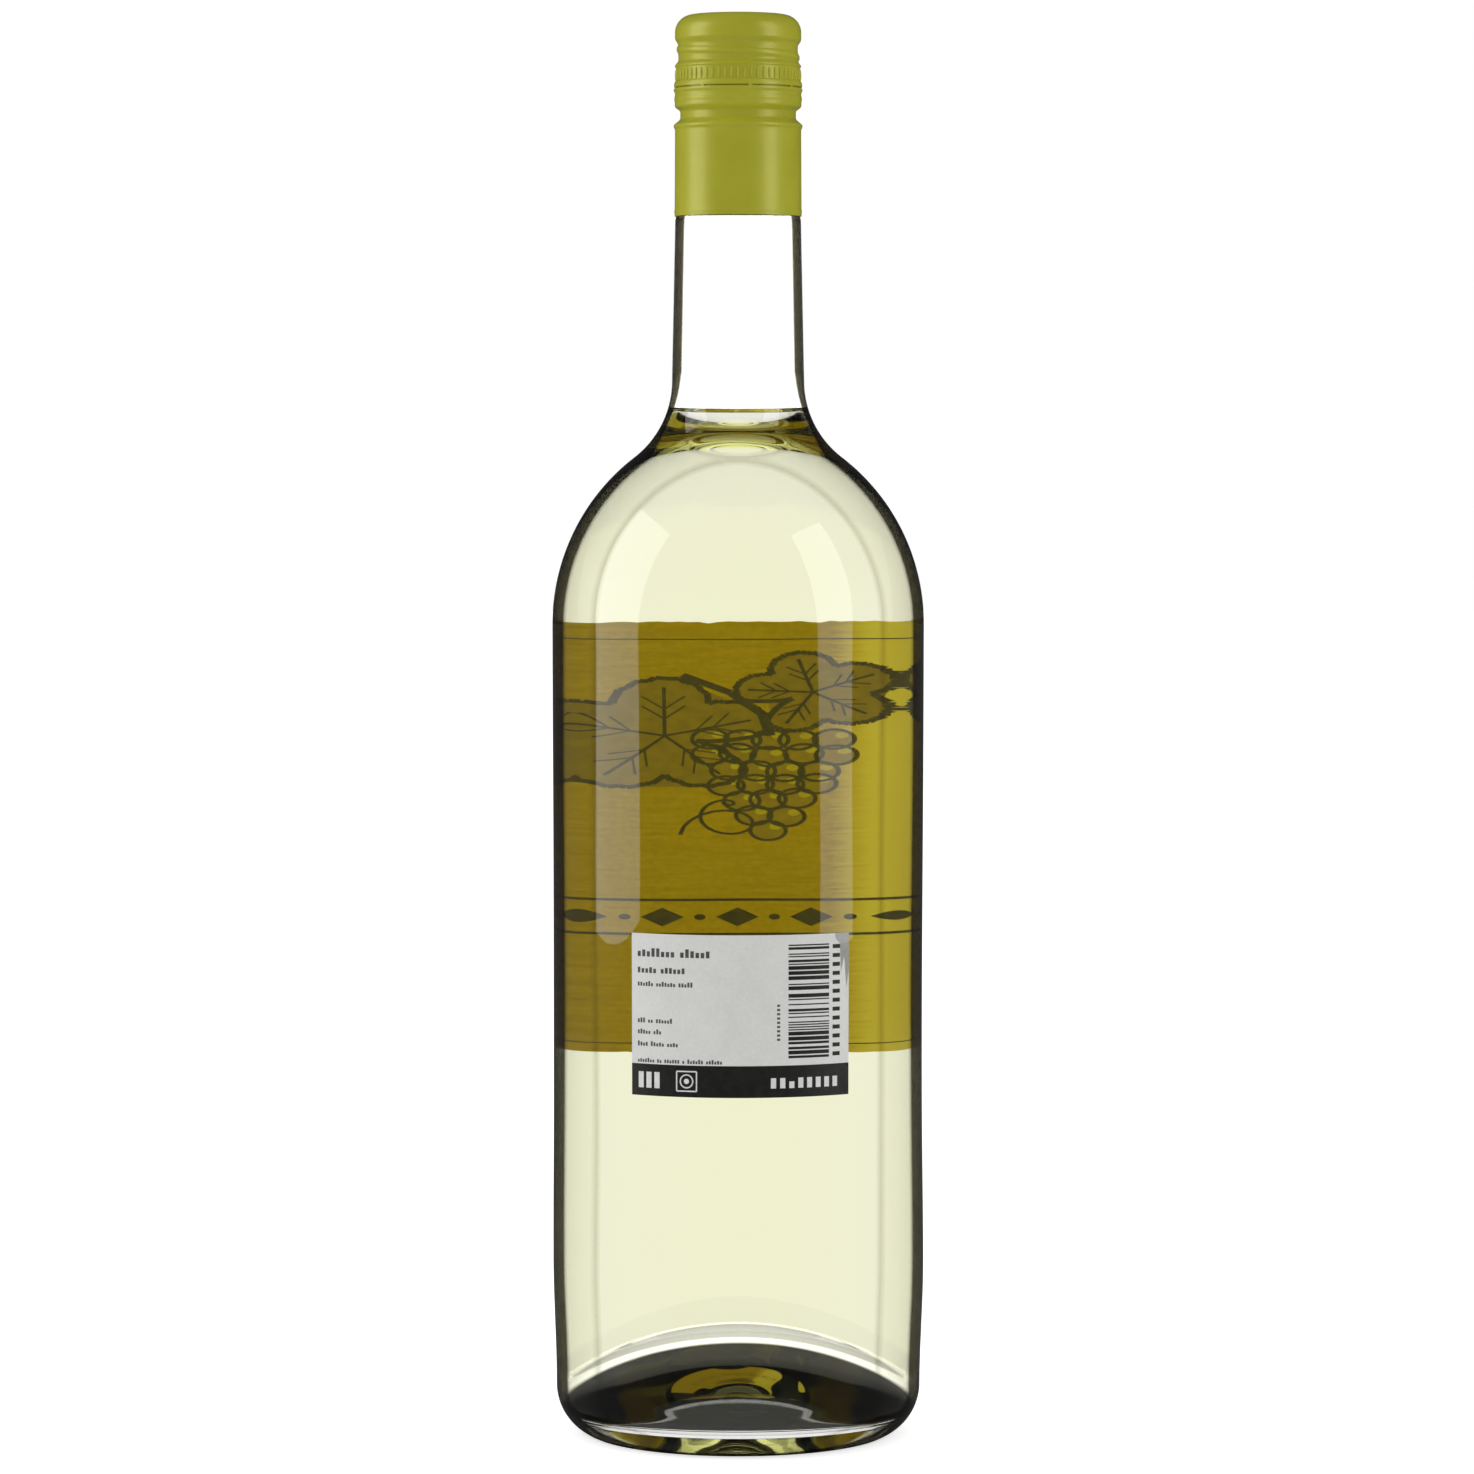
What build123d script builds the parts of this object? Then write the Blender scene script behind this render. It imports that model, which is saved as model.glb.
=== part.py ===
from build123d import *
from math import cos, hypot, radians, sin, sqrt
import os

# One-litre wine bottle: clear glass, white wine, aluminium screw closure and two paper labels.
# Origin at the centre of the base, +Z up, millimetres. The back label faces -Y, the front label +Y.
# Every profile is drawn as (radius, height) on the XZ plane and revolved about Z.

# Glass, outside
body_radius = 42.5           # widest place, where the shoulder starts
shoulder_height = 185.5
shoulder_arc = 48.0
neck_root_arc = 22.0         # hollow curve between shoulder and neck
neck_length = 37.3           # from the hollow curve to the closure's edge
neck_low_radius = 15.05
neck_top_radius = 14.3       # just under the closure
panel_inset = 0.3            # the label panel tapers in by this much
panel_bottom = 78.0
swell_inset = 0.1            # contact band above the heel
swell_height = 40.0
heel_inset = 0.8
heel_arc = 12.0              # radius of the heel curve
heel_rise = 11.0             # height where it meets the side

# Glass, inside and base
wall = 2.5
neck_wall = 3.0
bore_radius = 9.4
bearing_width = 1.6          # flat ring that the bottle stands on
punt_height = 20.5
punt_flat = 15.0             # reach of the punt's flat crown
punt_flare = (5.6, 12.0)     # how the punt's wall leaves the bearing ring
base_dome_top = 27.0         # wine side of the punt
base_thickness = 5.4         # glass under the lowest wine
trough_arc = 4.0             # curve between the dome and the inner wall

# Wine
level_drop = 8.0             # from the start of the neck down to the wine
wine_clearance = 0.1         # between the wine and the glass

# Closure; lengths run down from its top
closure_length = 45.6
closure_radius = 14.35
sheet = 0.3                  # thickness of the aluminium
closure_corner = 4.0
thread_run_in = 3.4
thread_depth = 0.9
thread_rise = 0.4
thread_pitch = 3.4
thread_ridges = 1
knurl_run_in = 1.8
knurl_inset = 0.25
knurl_length = 2.6
knurl_count = 60
knurl_rib_radius = 0.25
bead_rise = 0.25             # how far a rolled bead stands out
bead_slope = 0.7
bead_flat = 0.8
slit_length = 0.35
bridge_count = 8
bridge_width = 0.9
bridge_turn = 12.0           # degrees from +X to the first bridge
band_length = 2.5            # plain part of the tamper band
groove_slope = 1.5
groove_depth = 1.2
groove_flat = 1.2
skirt_bead_slope = 2.0
skirt_flare = 0.25           # the skirt's lower edge stands out by this much

# Glass finish inside the closure
skirt_clearance = 0.15       # between the skirt and the glass
collar_step = 2.0            # height in which the neck narrows to pass inside the skirt
collar_drop = 2.5            # the glass collar ends this far below the groove
finish_clearance = 0.3       # between the finish and the groove
lip_drop = 1.6               # height of the bevelled lip

# Labels
label_thickness = 0.15
label_gap = 0.05             # adhesive
front_top_margin = 1.0       # from the shoulder down to the front label
front_low_margin = 7.0       # from the panel's lower end up to the front label
front_half_angle = 77.0
back_low_margin = 3.65
back_height = 36.25
back_half_angle = 34.8
back_turn = 0.8              # the back label sits slightly off centre

# Values that follow from the sizes above
panel_radius = body_radius - panel_inset
heel_radius = body_radius - heel_inset
heel_centre_radius = heel_radius - heel_arc
bearing_outer = heel_centre_radius + sqrt(heel_arc**2 - heel_rise**2)
bearing_inner = bearing_outer - bearing_width
shoulder_centre_radius = body_radius - shoulder_arc
root_centre_radius = neck_low_radius + neck_root_arc
root_reach = root_centre_radius - shoulder_centre_radius
neck_bottom = shoulder_height + sqrt((shoulder_arc + neck_root_arc) ** 2 - root_reach**2)
skirt_bottom = neck_bottom + neck_length
total_height = skirt_bottom + closure_length
wine_level = neck_bottom - level_drop
collar_radius = closure_radius - sheet - skirt_clearance
groove_radius = closure_radius - groove_depth
finish_radius = groove_radius - sheet - finish_clearance
finish_top = total_height - sheet
crown_radius = closure_radius - closure_corner
inner_radius = body_radius - wall
inner_panel_radius = panel_radius - wall
inner_neck_radius = neck_low_radius - neck_wall
front_bottom = panel_bottom + front_low_margin
front_height = shoulder_height - front_top_margin - front_bottom
back_bottom = panel_bottom + back_low_margin


def arc_about(centre, start, end):
    """Minor arc about a centre, from start to end."""
    radius = hypot(start[0] - centre[0], start[1] - centre[1])
    middle = ((start[0] + end[0]) / 2 - centre[0], (start[1] + end[1]) / 2 - centre[1])
    stretch = radius / hypot(*middle)
    return ThreePointArc(start, (centre[0] + middle[0] * stretch, centre[1] + middle[1] * stretch), end)


def shoulder_and_root(side, arc, root_arc, neck):
    """Shoulder arc and hollow neck root, tangent to each other; gives the height where the neck starts."""
    centre = (side - arc, shoulder_height)
    reach = arc + root_arc
    rise = sqrt(reach**2 - (neck + root_arc - centre[0]) ** 2)
    root = (neck + root_arc, shoulder_height + rise)
    share = arc / reach
    joint = (centre[0] + share * (root[0] - centre[0]), centre[1] + share * rise)
    arc_about(centre, (side, shoulder_height), joint)
    arc_about(root, joint, (neck, root[1]))
    return root[1]


def wall_outline(inset):
    """Inside of the glass, or the wine's own side when inset: base dome, trough, side and shoulder."""
    top = base_dome_top + inset
    trough = trough_arc - inset
    side = inner_panel_radius - inset
    trough_centre = (side - trough, base_thickness + trough_arc)
    drop = top - trough_centre[1]
    dome = (trough_centre[0] ** 2 + drop**2 - trough**2) / (2 * (drop + trough))
    dome_centre = (0, top - dome)
    share = dome / (dome + trough)
    joint = (
        trough_centre[0] * share,
        dome_centre[1] + (trough_centre[1] - dome_centre[1]) * share,
    )
    lowest = (trough_centre[0], trough_centre[1] - trough)
    arc_about(dome_centre, (0, top), joint)
    arc_about(trough_centre, joint, lowest)
    arc_about(trough_centre, lowest, (side, trough_centre[1]))
    Line((side, trough_centre[1]), (side, panel_bottom))
    Line((side, panel_bottom), (inner_radius - inset, shoulder_height))
    return shoulder_and_root(
        inner_radius - inset,
        shoulder_arc - wall - inset,
        neck_root_arc + wall + inset,
        inner_neck_radius - inset,
    )


def closure_outline(inset):
    """Side of the closure from its corner down to its edge, moved inwards by inset."""
    full = closure_radius - inset
    waist = full - thread_depth
    bead = full + bead_rise
    knurl = full - knurl_inset
    steps = [(full, closure_corner), (waist, thread_run_in)]
    for _ in range(thread_ridges):
        steps += [(waist + thread_rise, thread_pitch / 2), (waist, thread_pitch / 2)]
    steps += [(knurl, knurl_run_in), (knurl, knurl_length)]
    steps += [(bead, bead_slope), (bead, bead_flat + slit_length + bead_flat), (full, bead_slope)]
    steps += [(full, band_length), (full - groove_depth, groove_slope), (full - groove_depth, groove_flat)]
    steps += [(bead, skirt_bead_slope), (full, bead_slope)]
    points = []
    height = total_height
    for radius, down in steps:
        height -= down
        points.append((radius, height))
    points.append((full + skirt_flare, skirt_bottom))
    return points


def panel_outside(height):
    """Outside radius of the label panel at a height."""
    share = (height - panel_bottom) / (shoulder_height - panel_bottom)
    return panel_radius + share * panel_inset


# Closure heights used by the finish, the knurls and the slits
closure_side = closure_outline(0)
knurl_index = 2 + 2 * thread_ridges
knurl_top = closure_side[knurl_index][1]
slit_top = closure_side[knurl_index + 2][1] - bead_flat
groove_bottom = closure_side[knurl_index + 7][1]
collar_top = groove_bottom - skirt_bead_slope - collar_drop

# Space inside the glass, up through the bore
with BuildPart() as cavity:
    with BuildSketch(Plane.XZ):
        with BuildLine():
            neck_start = wall_outline(0)
            Polyline(
                (inner_neck_radius, neck_start),
                (neck_top_radius - neck_wall, skirt_bottom),
                (bore_radius, collar_top),
                (bore_radius, total_height),
                (0, total_height),
                (0, base_dome_top),
            )
        make_face()
    revolve(axis=Axis.Z)

with BuildPart() as bottle:
    with BuildSketch(Plane.XZ):
        with BuildLine():
            Bezier(
                (0, punt_height),
                (punt_flat, punt_height),
                (bearing_inner - punt_flare[0], punt_flare[1]),
                (bearing_inner, 0),
            )
            Line((bearing_inner, 0), (bearing_outer, 0))
            arc_about((heel_centre_radius, heel_rise), (bearing_outer, 0), (heel_radius, heel_rise))
            Polyline(
                (heel_radius, heel_rise),
                (body_radius - swell_inset, swell_height),
                (panel_radius, panel_bottom),
                (body_radius, shoulder_height),
            )
            shoulder_and_root(body_radius, shoulder_arc, neck_root_arc, neck_low_radius)
            Polyline(
                (neck_low_radius, neck_bottom),
                (neck_top_radius, skirt_bottom - collar_step / 2),
                (collar_radius, skirt_bottom + collar_step / 2),
                (collar_radius, collar_top),
                (finish_radius, collar_top + collar_drop),
                (finish_radius, finish_top - lip_drop),
                (crown_radius, finish_top),
                (0, finish_top),
                (0, punt_height),
            )
        make_face()
    revolve(axis=Axis.Z)
    add(cavity.part, mode=Mode.SUBTRACT)

with BuildPart() as wine:
    with BuildSketch(Plane.XZ):
        with BuildLine():
            wine_neck = wall_outline(wine_clearance)
            Polyline(
                (inner_neck_radius - wine_clearance, wine_neck),
                (inner_neck_radius - wine_clearance, total_height),
                (0, total_height),
                (0, base_dome_top + wine_clearance),
            )
        make_face()
    revolve(axis=Axis.Z)
    split(bisect_by=Plane.XY.offset(wine_level), keep=Keep.BOTTOM)

with BuildPart() as closure:
    with BuildSketch(Plane.XZ):
        with BuildLine():
            inside = closure_outline(sheet)
            corner_centre = (crown_radius, total_height - closure_corner)
            arc_about(corner_centre, (crown_radius, total_height), closure_side[0])
            Polyline(*closure_side, *reversed(inside))
            arc_about(corner_centre, inside[0], (crown_radius, finish_top))
            Polyline(
                (crown_radius, finish_top),
                (0, finish_top),
                (0, total_height),
                (crown_radius, total_height),
            )
        make_face()
    revolve(axis=Axis.Z)
    with Locations((0, 0, knurl_top - knurl_length / 2)):
        with PolarLocations(closure_radius - knurl_inset, knurl_count):
            Cylinder(knurl_rib_radius, knurl_length)
    with BuildSketch(Plane.XY.offset(slit_top - slit_length)):
        Circle(closure_radius + 2 * bead_rise)
        Circle(closure_radius - thread_depth, mode=Mode.SUBTRACT)
        with PolarLocations(closure_radius, bridge_count, start_angle=bridge_turn):
            Rectangle(2 * thread_depth + 4 * bead_rise, bridge_width, mode=Mode.SUBTRACT)
    extrude(amount=slit_length, mode=Mode.SUBTRACT)


def label(bottom, height, half_angle, facing):
    """Paper shell on the label panel, centred on the direction facing, in degrees from +X."""
    start = radians(facing - half_angle)
    section = Plane(origin=(0, 0, 0), x_dir=(cos(start), sin(start), 0), z_dir=(sin(start), -cos(start), 0))
    top = bottom + height
    low = panel_outside(bottom) + label_gap
    high = panel_outside(top) + label_gap
    with BuildPart() as paper:
        with BuildSketch(section):
            with BuildLine():
                Polyline(
                    (low, bottom),
                    (low + label_thickness, bottom),
                    (high + label_thickness, top),
                    (high, top),
                    close=True,
                )
            make_face()
        revolve(axis=Axis.Z, revolution_arc=2 * half_angle)
    return paper.part


front_label = label(front_bottom, front_height, front_half_angle, 90)
back_label = label(back_bottom, back_height, back_half_angle, -90 + back_turn)

os.makedirs("parts", exist_ok=True)
pieces = {
    "bottle": bottle.part,
    "wine": wine.part,
    "closure": closure.part,
    "front_label": front_label,
    "back_label": back_label,
}
for name, piece in pieces.items():
    piece.label = name
    export_step(piece, f"parts/{name}.step")
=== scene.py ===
import bpy, bmesh, random
from math import atan2, cos, degrees, hypot, pi, radians, sin, sqrt
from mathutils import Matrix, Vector


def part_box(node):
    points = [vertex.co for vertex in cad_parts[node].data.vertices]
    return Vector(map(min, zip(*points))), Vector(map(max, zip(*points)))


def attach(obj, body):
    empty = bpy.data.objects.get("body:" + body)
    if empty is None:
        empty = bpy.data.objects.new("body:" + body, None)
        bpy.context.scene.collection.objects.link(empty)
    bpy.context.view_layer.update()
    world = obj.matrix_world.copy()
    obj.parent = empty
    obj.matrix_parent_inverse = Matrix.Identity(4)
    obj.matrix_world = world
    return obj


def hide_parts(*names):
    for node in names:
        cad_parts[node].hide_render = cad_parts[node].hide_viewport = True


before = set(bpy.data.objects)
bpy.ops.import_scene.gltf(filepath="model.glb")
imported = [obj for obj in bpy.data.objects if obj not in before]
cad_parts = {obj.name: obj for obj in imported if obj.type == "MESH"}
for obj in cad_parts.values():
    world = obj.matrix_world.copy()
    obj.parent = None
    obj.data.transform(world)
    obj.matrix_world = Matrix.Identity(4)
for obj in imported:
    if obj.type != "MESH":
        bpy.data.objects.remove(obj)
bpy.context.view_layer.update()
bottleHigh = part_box("bottle")[1]
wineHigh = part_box("wine")[1]
closureLow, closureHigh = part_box("closure")
frontLow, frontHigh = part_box("front_label")
backLow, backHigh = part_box("back_label")
mm = 0.001                             # sizes below are in millimetres unless they say otherwise


def newMesh(name, verts, faces, mat, smooth=True, recalc=True):
    mesh = bpy.data.meshes.new(name)
    mesh.from_pydata(verts, [], faces)
    if recalc:
        bm = bmesh.new()
        bm.from_mesh(mesh)
        bmesh.ops.recalc_face_normals(bm, faces=bm.faces)
        bm.to_mesh(mesh)
        bm.free()
    for poly in mesh.polygons:
        poly.use_smooth = smooth
    piece = bpy.data.objects.new(name, mesh)
    bpy.context.scene.collection.objects.link(piece)
    if mat:
        mesh.materials.append(mat)
    return piece


def spin(name, profile, segments, mat, shift=None):      # turns a (radius, height) profile about Z
    verts, rings = [], []
    for r, z in profile:
        if r < 1e-6:
            rings.append([len(verts)])
            verts.append((0, 0, z * mm))
            continue
        rings.append(list(range(len(verts), len(verts) + segments)))
        for k in range(segments):
            a = 2 * pi * k / segments
            moved = r + (shift(a, r, z) if shift else 0)
            verts.append((moved * cos(a) * mm, moved * sin(a) * mm, z * mm))
    faces = []
    for low, high in zip(rings, rings[1:]):
        for k in range(segments):
            n = (k + 1) % segments
            if len(low) == 1 and len(high) == 1:
                continue
            if len(low) == 1:
                faces.append((low[0], high[n], high[k]))
            elif len(high) == 1:
                faces.append((low[k], low[n], high[0]))
            else:
                faces.append((low[k], low[n], high[n], high[k]))
    return newMesh(name, verts, faces, mat)


def arc(centre, start, end, steps):
    a0 = atan2(start[1] - centre[1], start[0] - centre[0])
    a1 = atan2(end[1] - centre[1], end[0] - centre[0])
    radius = hypot(start[0] - centre[0], start[1] - centre[1])
    return [(centre[0] + radius * cos(a0 + (a1 - a0) * i / steps),
             centre[1] + radius * sin(a0 + (a1 - a0) * i / steps)) for i in range(steps + 1)]


def line(start, end, steps):
    return [(start[0] + (end[0] - start[0]) * i / steps,
             start[1] + (end[1] - start[1]) * i / steps) for i in range(steps + 1)]


def easeThrough(knots, steps):
    points = []
    for (r0, z0), (r1, z1) in zip(knots, knots[1:]):
        for i in range(steps):
            t = i / steps
            points.append((r0 + (r1 - r0) * (3 * t * t - 2 * t ** 3), z0 + (z1 - z0) * t))
    return points + [knots[-1]]


def material(name):
    mat = bpy.data.materials.new(name)
    mat.use_nodes = True
    nodes, links = mat.node_tree.nodes, mat.node_tree.links
    nodes.clear()
    out = nodes.new("ShaderNodeOutputMaterial")
    shader = nodes.new("ShaderNodeBsdfPrincipled")
    links.new(shader.outputs[0], out.inputs["Surface"])
    return mat, nodes, links, shader, out


def node(nodes, links, kind, inputs=None, **settings):
    made = nodes.new(kind)
    for key, value in settings.items():
        setattr(made, key, value)
    for key, value in (inputs or {}).items():
        if hasattr(value, "is_output"):
            links.new(value, made.inputs[key])
        else:
            made.inputs[key].default_value = value
    return made


def maths(nodes, links, operation, *values):
    return node(nodes, links, "ShaderNodeMath", dict(enumerate(values)), operation=operation)


def mapRange(nodes, links, value, given, wanted=(0.0, 1.0)):
    limits = {"From Min": given[0], "From Max": given[1], "To Min": wanted[0], "To Max": wanted[1]}
    return node(nodes, links, "ShaderNodeMapRange", {"Value": value, **limits})


def ramp(nodes, links, source, stops, interpolation="LINEAR"):
    made = nodes.new("ShaderNodeValToRGB")
    made.color_ramp.interpolation = interpolation
    while len(made.color_ramp.elements) < len(stops):
        made.color_ramp.elements.new(0.5)
    for element, (place, colour) in zip(made.color_ramp.elements, stops):
        element.position = place
        element.color = (*colour, 1)
    links.new(source, made.inputs[0])
    return made.outputs[0]


def srgb(*values):
    return tuple((v / 255 / 12.92) if v <= 10 else (((v / 255) + 0.055) / 1.055) ** 2.4 for v in values)


glassSizes = {
    "segments": 176,
    "side": bottleHigh[0] / mm,          # widest radius, at the shoulder
    "shoulder": 185.5,
    "shoulderArc": 48.0,
    "rootArc": 22.0,
    "neckLow": 15.05,
    "neckTop": 14.3,
    "panelInset": 0.3,
    "panelBottom": 78.0,
    "swell": (0.1, 40.0),
    "heelInset": 0.8,
    "heelArc": 12.0,
    "heelRise": 11.0,
    "bearing": 1.6,
    "punt": 20.5,
    "puntFlat": 15.0,
    "puntFlare": (5.6, 12.0),
    "wall": 2.5,
    "neckWall": 3.0,
    "domeTop": 27.0,
    "baseThickness": 5.4,
    "troughArc": 4.0,
    "bore": 9.4,
    "boreBottom": 296.0,
    "collar": 13.9,
    "collarTop": 295.5,
    "finish": 12.55,
    "finishBottom": 298.0,
    "lip": (10.4, 1.6, 0.4),             # crown radius, bevel outside and inside
    "wave": 0.09,                        # unevenness of the blown inside
    "waveRange": (8.0, 236.0),
    "waveFade": (25.0, 30.0),
}
wineSizes = {
    "level": wineHigh[2] / mm,
    "meniscus": 1.3,                     # how far the wine climbs the glass
    "meniscusReach": 2.6,
    "overlap": 0.15,                     # into the wall, so no air gap shows
}


def shoulderPoints(side, arcRadius, rootRadius, neck):
    s = glassSizes
    centre = (side - arcRadius, s["shoulder"])
    reach = arcRadius + rootRadius
    rise = sqrt(reach ** 2 - (neck + rootRadius - centre[0]) ** 2)
    root = (neck + rootRadius, s["shoulder"] + rise)
    share = arcRadius / reach
    joint = (centre[0] + share * (root[0] - centre[0]), centre[1] + share * rise)
    low = arc(centre, (side, s["shoulder"]), joint, 34)
    start = atan2(joint[1] - root[1], joint[0] - root[0]) % (2 * pi)
    turns = [start + (pi - start) * i / 20 for i in range(1, 21)]
    return low + [(root[0] + rootRadius * cos(a), root[1] + rootRadius * sin(a)) for a in turns]


def insidePoints(inset):
    s = glassSizes
    top = s["domeTop"] + inset
    trough = s["troughArc"] - inset
    panel = s["side"] - s["panelInset"] - s["wall"] - inset
    side = s["side"] - s["wall"] - inset
    centre = (panel - trough, s["baseThickness"] + s["troughArc"])
    drop = top - centre[1]
    dome = (centre[0] ** 2 + drop ** 2 - trough ** 2) / (2 * (drop + trough))
    domeCentre = (0, top - dome)
    share = dome / (dome + trough)
    joint = (centre[0] * share, domeCentre[1] + (centre[1] - domeCentre[1]) * share)
    points = arc(domeCentre, (0, top), joint, 30)
    start = atan2(joint[1] - centre[1], joint[0] - centre[0]) % (2 * pi)
    turns = [start + (2 * pi - start) * i / 18 for i in range(1, 19)]
    points += [(centre[0] + trough * cos(a), centre[1] + trough * sin(a)) for a in turns]
    points += easeThrough([(panel, centre[1]), (panel, s["panelBottom"]), (side, s["shoulder"])], 18)[1:-1]
    points += shoulderPoints(side, s["shoulderArc"] - s["wall"] - inset, s["rootArc"] + s["wall"] + inset,
                             s["neckLow"] - s["neckWall"] - inset)
    return points


def insideWave(a, r, z):
    s = glassSizes
    low, high = s["waveRange"]
    if z > high or r < 20 or z < low:
        return 0
    fade = min(1, (high - z) / s["waveFade"][1], (z - low) / s["waveFade"][0])
    swing = sin(2 * a + 0.9 + z / 41) + 0.6 * sin(3 * a + 2.1 - z / 29) + 0.35 * sin(7 * a + z / 17)
    return fade * s["wave"] * swing


def innerGlassMaterial(name, tint):
    mat, nodes, links, shader, out = material(name)
    shader.inputs["Base Color"].default_value = (1, 1, 1, 1)
    shader.inputs["Roughness"].default_value = 0.0
    shader.inputs["IOR"].default_value = 1.52
    shader.inputs["Transmission Weight"].default_value = 1.0
    shader.inputs["Specular Tint"].default_value = (tint, tint, tint, 1)
    return mat


def glassMaterial():
    mat, nodes, links, shader, out = material("bottleGlass")
    shader.inputs["Roughness"].default_value = 0.0
    shader.inputs["IOR"].default_value = 1.52
    shader.inputs["Transmission Weight"].default_value = 1.0
    edge = node(nodes, links, "ShaderNodeLayerWeight", {"Blend": 0.5})
    place = node(nodes, links, "ShaderNodeTexCoord").outputs["Object"]
    parts = node(nodes, links, "ShaderNodeSeparateXYZ", {0: place})
    neck = mapRange(nodes, links, parts.outputs["Z"], (0.232, 0.243), (0.0, 0.17))      # painted dark edge, made wider at the neck root
    paintedRimShade = maths(nodes, links, "ADD", edge.outputs["Facing"], neck.outputs[0])
    # painted shade: near-black rims at grazing angles, with a thin dark line and a pale band inside them,
    # stand in for dark surroundings seen through the glass edges
    tint = ramp(nodes, links, paintedRimShade.outputs[0], [
        (0.0, (1, 1, 1)), (0.34, (1, 1, 1)), (0.37, (0.55, 0.54, 0.46)), (0.41, (0.92, 0.92, 0.84)),
        (0.62, (0.84, 0.84, 0.72)), (0.67, (0.006, 0.005, 0.002)), (0.9, (0.0015, 0.0012, 0.0006)),
        (1.0, (0.004, 0.004, 0.003))])
    links.new(tint, shader.inputs["Base Color"])
    return mat


def wineMaterial():
    mat, nodes, links, shader, out = material("whiteWine")
    shader.inputs["Base Color"].default_value = (1, 1, 1, 1)
    shader.inputs["Roughness"].default_value = 0.0
    shader.inputs["IOR"].default_value = 1.342
    shader.inputs["Transmission Weight"].default_value = 1.0
    shader.inputs["Specular Tint"].default_value = (0, 0, 0, 1)
    yellow = (0.96, 0.975, 0.03, 1)
    volume = node(nodes, links, "ShaderNodeVolumeAbsorption", {"Color": yellow, "Density": 4.4})
    links.new(volume.outputs[0], out.inputs["Volume"])
    return mat


def makeBottle():
    s = glassSizes
    heel = s["side"] - s["heelInset"]
    heelCentre = heel - s["heelArc"]
    bearOut = heelCentre + sqrt(s["heelArc"] ** 2 - s["heelRise"] ** 2)
    bearIn = bearOut - s["bearing"]
    flare = (bearIn - s["puntFlare"][0], s["puntFlare"][1])
    pulls = [(0, s["punt"]), (s["puntFlat"], s["punt"]), flare, (bearIn, 0)]
    points = []                          # the punt's wall is a cubic curve
    for i in range(27):
        t = i / 26
        shares = ((1 - t) ** 3, 3 * t * (1 - t) ** 2, 3 * t * t * (1 - t), t ** 3)
        points.append(tuple(sum(w * q[axis] for w, q in zip(shares, pulls)) for axis in (0, 1)))
    points += arc((heelCentre, s["heelRise"]), (bearOut, 0), (heel, s["heelRise"]), 16)
    knots = [(heel, s["heelRise"]), (s["side"] - s["swell"][0], s["swell"][1]),
             (s["side"] - s["panelInset"], s["panelBottom"]), (s["side"], s["shoulder"])]
    points += easeThrough(knots, 16)[1:-1]
    points += shoulderPoints(s["side"], s["shoulderArc"], s["rootArc"], s["neckLow"])
    skirt, top = closureLow[2] / mm, bottleHigh[2] / mm
    points += line((s["neckLow"], points[-1][1]), (s["neckTop"], skirt - 1), 14)[1:]
    crown, bevel, innerBevel = s["lip"]
    points += [(s["collar"], skirt + 1), (s["collar"], s["collarTop"]), (s["finish"], s["finishBottom"]),
               (s["finish"], top - bevel), (crown, top), (s["bore"], top - innerBevel)]
    points += line((s["bore"], s["boreBottom"]), (s["neckTop"] - s["neckWall"], skirt), 5)
    inside = insidePoints(0)
    points += line((s["neckTop"] - s["neckWall"], skirt), inside[-1], 14)[1:-1]
    points += reversed(inside)
    glass = spin("bottleGlass", points, s["segments"], glassMaterial(), insideWave)
    glass.data.materials.append(innerGlassMaterial("wetGlass", 0.06))
    glass.data.materials.append(innerGlassMaterial("puntGlass", 1.0))
    baseTop = (s["domeTop"] + 3) * mm
    for face in glass.data.polygons:
        outwards = face.normal.x * face.center.x + face.normal.y * face.center.y
        onDome = face.center.z < baseTop and face.normal.z > 0.05
        if outwards <= 0 or onDome:
            face.material_index = 1      # wet inside
        if face.center.z < baseTop and face.normal.z < -0.02 and outwards <= 0:
            face.material_index = 2      # dry punt
    return glass


def makeWine():
    s, w = glassSizes, wineSizes
    walls = insidePoints(-w["overlap"])
    climb = w["level"] + w["meniscus"]
    kept = [q for q in walls if q[1] < climb]
    above, below = walls[len(kept)], kept[-1]
    t = (climb - below[1]) / (above[1] - below[1])
    rim = below[0] + (above[0] - below[0]) * t
    points = kept + [(rim, climb)]
    for i in range(1, 12):
        t = i / 11
        points.append((rim - w["meniscusReach"] * t, w["level"] + w["meniscus"] * (1 - t) ** 2.6))
    points += line((rim - w["meniscusReach"], w["level"]), (0, w["level"]), 6)[1:]
    return spin("wineBody", points, s["segments"], wineMaterial(), insideWave)


bottle = makeBottle()
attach(bottle, "root")
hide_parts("bottle")
wine = makeWine()
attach(wine, "root")
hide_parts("wine")
print("bottle and wine made")


closureSizes = {
    "segments": 288,
    "radius": 14.35,
    "sheet": 0.3,
    "corner": 4.0,
    "threadTop": 5.2,                    # down from the top
    "threadBottom": 11.8,
    "threadDepth": 0.78,
    "threadPitch": 3.9,
    "threadRise": 0.42,
    "knurls": 60,
    "knurlTop": 12.4,
    "knurlLength": 2.7,
    "knurlInset": 0.22,
    "knurlWidth": 0.62,
    "slit": 16.55,
    "slitHeight": 0.34,
    "slitDepth": 0.5,
    "bridges": 8,
    "bridgeWidth": 4.0,                  # degrees
    "bridgeTurn": 281.0,
    "beads": ((0.22, 16.0, 0.55), (0.27, 17.1, 0.4), (0.16, 19.1, 0.55), (0.05, 20.3, 0.3), (0.3, 25.2, 0.5),
              (0.09, 44.6, 0.35)),       # height, down from the top, width
    "groove": (20.7, 25.0),
    "grooveSlope": (1.3, 1.6),
    "grooveDepth": 1.2,
    "flareFrom": 25.8,
    "flare": 0.005,                      # per millimetre
}


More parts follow.
